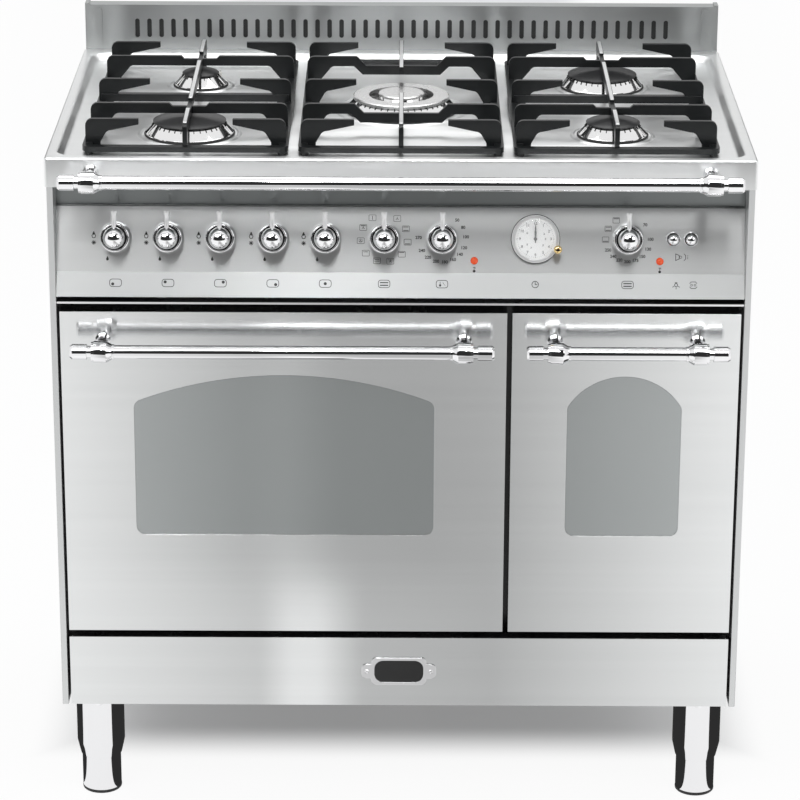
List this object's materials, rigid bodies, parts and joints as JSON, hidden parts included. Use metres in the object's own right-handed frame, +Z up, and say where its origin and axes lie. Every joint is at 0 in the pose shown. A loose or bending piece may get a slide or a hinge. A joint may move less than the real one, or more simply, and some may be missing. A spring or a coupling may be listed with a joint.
{
  "type": "dual fuel range cooker",
  "caption": "Freestanding range cooker with gas hob, twin ovens behind arched glass doors, a leaning panel of ball knobs, chrome rail and telescopic legs.",
  "frame": {"origin": "on the floor under the middle of the whole cooker, rail and backguard included", "axes": "+X to the cooker's right as seen from the front, +Y to the back, +Z up; the front faces -Y"},
  "size_m": [0.9, 0.659, 0.966],
  "materials": {
    "steel": "fine brushed satin",
    "zinc": "dull galvanised",
    "black_enamel": "satin black enamel",
    "oven_enamel": "gloss dark enamel with light specks",
    "chrome": "polished",
    "wire": "bright plated",
    "dark_glass": "mirror-tinted glass",
    "clear_glass": "clear domed glass",
    "brass": "satin",
    "black_plastic": "matte black",
    "black_paint": "matt black",
    "orange_lens": "clear orange",
    "aluminium": "satin cast",
    "iron": "matt black enamelled cast iron"
  },
  "bodies": {
    "cooker": {"side_panel_left": "steel", "side_panel_right": "steel", "back_panel": "zinc", "base_frame": "black_enamel", "front_frame": "black_enamel", "worktop": "steel", "backguard": "steel", "fascia": "steel", "kick_panel": "steel", "blank_plate": "chrome", "towel_rail": "chrome", "legs": "chrome", "oven_left": "oven_enamel", "oven_right": "oven_enamel", "rack_guides": "wire", "rack_left": "wire", "tray_left": "oven_enamel", "rack_right": "wire", "fan_cover": "oven_enamel", "bezels": "chrome", "gas_rail": "brass", "switches": "black_plastic", "cable_gland": "black_plastic", "clock_case": "chrome", "clock_glass": "clear_glass", "pilot_lamps": "orange_lens", "burner_bowls": "aluminium", "burner_crowns": "aluminium", "burner_caps": "black_enamel", "wok_ring": "aluminium", "wok_plate": "aluminium"},
    "door_left": {"door_left": "steel", "door_left_glass": "dark_glass", "door_left_inner": "dark_glass", "handle_left": "chrome"},
    "door_right": {"door_right": "steel", "door_right_glass": "dark_glass", "door_right_inner": "dark_glass", "handle_right": "chrome"},
    "knob_1": {"knob_1": "chrome"},
    "knob_2": {"knob_2": "chrome"},
    "knob_3": {"knob_3": "chrome"},
    "knob_4": {"knob_4": "chrome"},
    "knob_5": {"knob_5": "chrome"},
    "knob_6": {"knob_6": "chrome"},
    "knob_7": {"knob_7": "chrome"},
    "knob_8": {"knob_8": "chrome"},
    "button_light": {"button_light": "chrome"},
    "button_spark": {"button_spark": "chrome"},
    "minute_hand": {"minute_hand": "black_paint"},
    "hour_hand": {"hour_hand": "black_paint"},
    "clock_knob": {"clock_knob": "brass"},
    "grate_left": {"grate_left": "iron"},
    "grate_middle": {"grate_middle": "iron"},
    "grate_right": {"grate_right": "iron"},
    "foot_1": {"foot_1": "chrome"},
    "foot_2": {"foot_2": "chrome"},
    "foot_3": {"foot_3": "chrome"},
    "foot_4": {"foot_4": "chrome"},
    "fan": {"fan": "wire"}
  },
  "joints": [
    {"name": "door_left_hinge", "type": "hinge", "parent": "cooker", "child": "door_left", "pos_m": [-0.14969, -0.2625, 0.262], "axis": [1, 0, 0], "range_deg": [0, 90], "stiffness_Nm_per_rad": 7, "springref_deg": -22.92},
    {"name": "door_right_hinge", "type": "hinge", "parent": "cooker", "child": "door_right", "pos_m": [0.28981, -0.2625, 0.262], "axis": [1, 0, 0], "range_deg": [0, 90], "stiffness_Nm_per_rad": 3.5, "springref_deg": -22.92},
    {"name": "knob_1_turn", "type": "hinge", "parent": "cooker", "child": "knob_1", "pos_m": [-0.36396, -0.24399, 0.7885], "axis": [0, -0.9659, 0.2588], "range_deg": [0, 165]},
    {"name": "knob_2_turn", "type": "hinge", "parent": "cooker", "child": "knob_2", "pos_m": [-0.297, -0.24399, 0.7885], "axis": [0, -0.9659, 0.2588], "range_deg": [0, 165]},
    {"name": "knob_3_turn", "type": "hinge", "parent": "cooker", "child": "knob_3", "pos_m": [-0.23004, -0.24399, 0.7885], "axis": [0, -0.9659, 0.2588], "range_deg": [0, 165]},
    {"name": "knob_4_turn", "type": "hinge", "parent": "cooker", "child": "knob_4", "pos_m": [-0.16308, -0.24399, 0.7885], "axis": [0, -0.9659, 0.2588], "range_deg": [0, 165]},
    {"name": "knob_5_turn", "type": "hinge", "parent": "cooker", "child": "knob_5", "pos_m": [-0.09612, -0.24399, 0.7885], "axis": [0, -0.9659, 0.2588], "range_deg": [0, 165]},
    {"name": "knob_6_turn", "type": "hinge", "parent": "cooker", "child": "knob_6", "pos_m": [-0.02097, -0.24399, 0.7885], "axis": [0, -0.9659, 0.2588], "range_deg": [-330, 0]},
    {"name": "knob_7_turn", "type": "hinge", "parent": "cooker", "child": "knob_7", "pos_m": [0.05301, -0.24399, 0.7885], "axis": [0, -0.9659, 0.2588], "range_deg": [-300, 0]},
    {"name": "knob_8_turn", "type": "hinge", "parent": "cooker", "child": "knob_8", "pos_m": [0.28998, -0.24399, 0.7885], "axis": [0, -0.9659, 0.2588], "range_deg": [-315, 0]},
    {"name": "button_light_press", "type": "slide", "parent": "cooker", "child": "button_light", "axis": [0, 0.9659, -0.2588], "range_m": [0, 0.003], "stiffness_N_per_m": 300, "springref_m": -0.001},
    {"name": "button_spark_press", "type": "slide", "parent": "cooker", "child": "button_spark", "axis": [0, 0.9659, -0.2588], "range_m": [0, 0.003], "stiffness_N_per_m": 300, "springref_m": -0.001},
    {"name": "minute_turn", "type": "hinge", "parent": "cooker", "child": "minute_hand", "pos_m": [0.17199, -0.24399, 0.7885], "axis": [0, -0.9659, 0.2588], "continuous": true},
    {"name": "hour_turn", "type": "hinge", "parent": "cooker", "child": "hour_hand", "pos_m": [0.17199, -0.24399, 0.7885], "axis": [0, -0.9659, 0.2588], "continuous": true},
    {"name": "clock_knob_turn", "type": "hinge", "parent": "cooker", "child": "clock_knob", "pos_m": [0.20009, -0.24738, 0.77585], "axis": [0, -0.9659, 0.2588], "continuous": true},
    {"name": "grate_left_lift", "type": "slide", "parent": "cooker", "child": "grate_left", "axis": [0, 0, 1], "range_m": [0, 0.12]},
    {"name": "grate_middle_lift", "type": "slide", "parent": "cooker", "child": "grate_middle", "axis": [0, 0, 1], "range_m": [0, 0.12]},
    {"name": "grate_right_lift", "type": "slide", "parent": "cooker", "child": "grate_right", "axis": [0, 0, 1], "range_m": [0, 0.12]},
    {"name": "foot_1_height", "type": "slide", "parent": "cooker", "child": "foot_1", "axis": [0, 0, -1], "range_m": [0, 0.035]},
    {"name": "foot_2_height", "type": "slide", "parent": "cooker", "child": "foot_2", "axis": [0, 0, -1], "range_m": [0, 0.035]},
    {"name": "foot_3_height", "type": "slide", "parent": "cooker", "child": "foot_3", "axis": [0, 0, -1], "range_m": [0, 0.035]},
    {"name": "foot_4_height", "type": "slide", "parent": "cooker", "child": "foot_4", "axis": [0, 0, -1], "range_m": [0, 0.035]},
    {"name": "fan_spin", "type": "hinge", "parent": "cooker", "child": "fan", "pos_m": [-0.14969, 0.1795, 0.4775], "axis": [0, 1, 0], "continuous": true}
  ],
  "couplings": [
    {"joint": "hour_turn", "follows": "minute_turn", "ratio": 0.083333}
  ]
}
